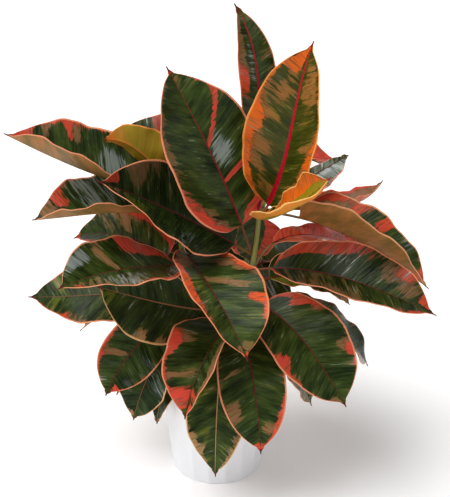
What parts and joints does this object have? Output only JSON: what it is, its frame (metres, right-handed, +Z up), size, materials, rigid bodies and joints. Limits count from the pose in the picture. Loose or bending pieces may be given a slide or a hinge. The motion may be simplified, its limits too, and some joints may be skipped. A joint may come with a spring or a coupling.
{
  "type": "potted rubber plant",
  "caption": "Bushy rubber plant with broad, glossy, dark green leaves edged in coral and cream, growing on upright stems from a white fluted pot of soil.",
  "frame": {"origin": "centre of the pot's flat base, on the surface it stands on", "axes": "+Z up, -Y towards the plant's front, +X to the right when seen from the front"},
  "size_m": [0.5235, 0.3809, 0.6004],
  "materials": {
    "pot": "smooth white with a soft sheen",
    "soil": "dark crumbly potting soil",
    "stem": "satin olive green bark",
    "bud": "satin crimson sheath",
    "leaf": "glossy dark green, marked with coral and edged in coral or cream",
    "leaf_young": "glossy orange and yellow-green"
  },
  "bodies": {
    "root": {"pot": "pot", "soil": "soil", "stem_right": "stem", "stem_left": "stem", "stem_back": "stem", "bud_right": "bud", "bud_left": "bud", "bud_back": "bud", "leaf_01": "leaf", "leaf_02": "leaf_young", "leaf_03": "leaf_young", "leaf_04": "leaf", "leaf_05": "leaf", "leaf_06": "leaf_young", "leaf_07": "leaf", "leaf_08": "leaf", "leaf_09": "leaf", "leaf_10": "leaf", "leaf_11": "leaf", "leaf_12": "leaf", "leaf_13": "leaf", "leaf_14": "leaf", "leaf_15": "leaf", "leaf_16": "leaf", "leaf_17": "leaf", "leaf_18": "leaf", "leaf_19": "leaf", "leaf_20": "leaf", "leaf_21": "leaf", "leaf_22": "leaf", "leaf_23": "leaf", "leaf_24": "leaf", "leaf_25": "leaf", "leaf_26": "leaf", "leaf_27": "leaf", "leaf_28": "leaf", "leaf_29": "leaf", "leaf_30": "leaf", "leaf_31": "leaf", "leaf_32": "leaf", "leaf_33": "leaf", "leaf_34": "leaf", "leaf_35": "leaf", "leaf_36": "leaf", "leaf_37": "leaf", "leaf_38": "leaf", "leaf_39": "leaf", "leaf_40": "leaf", "leaf_41": "leaf", "leaf_42": "leaf", "leaf_43": "leaf", "leaf_44": "leaf"}
  },
  "joints": []
}
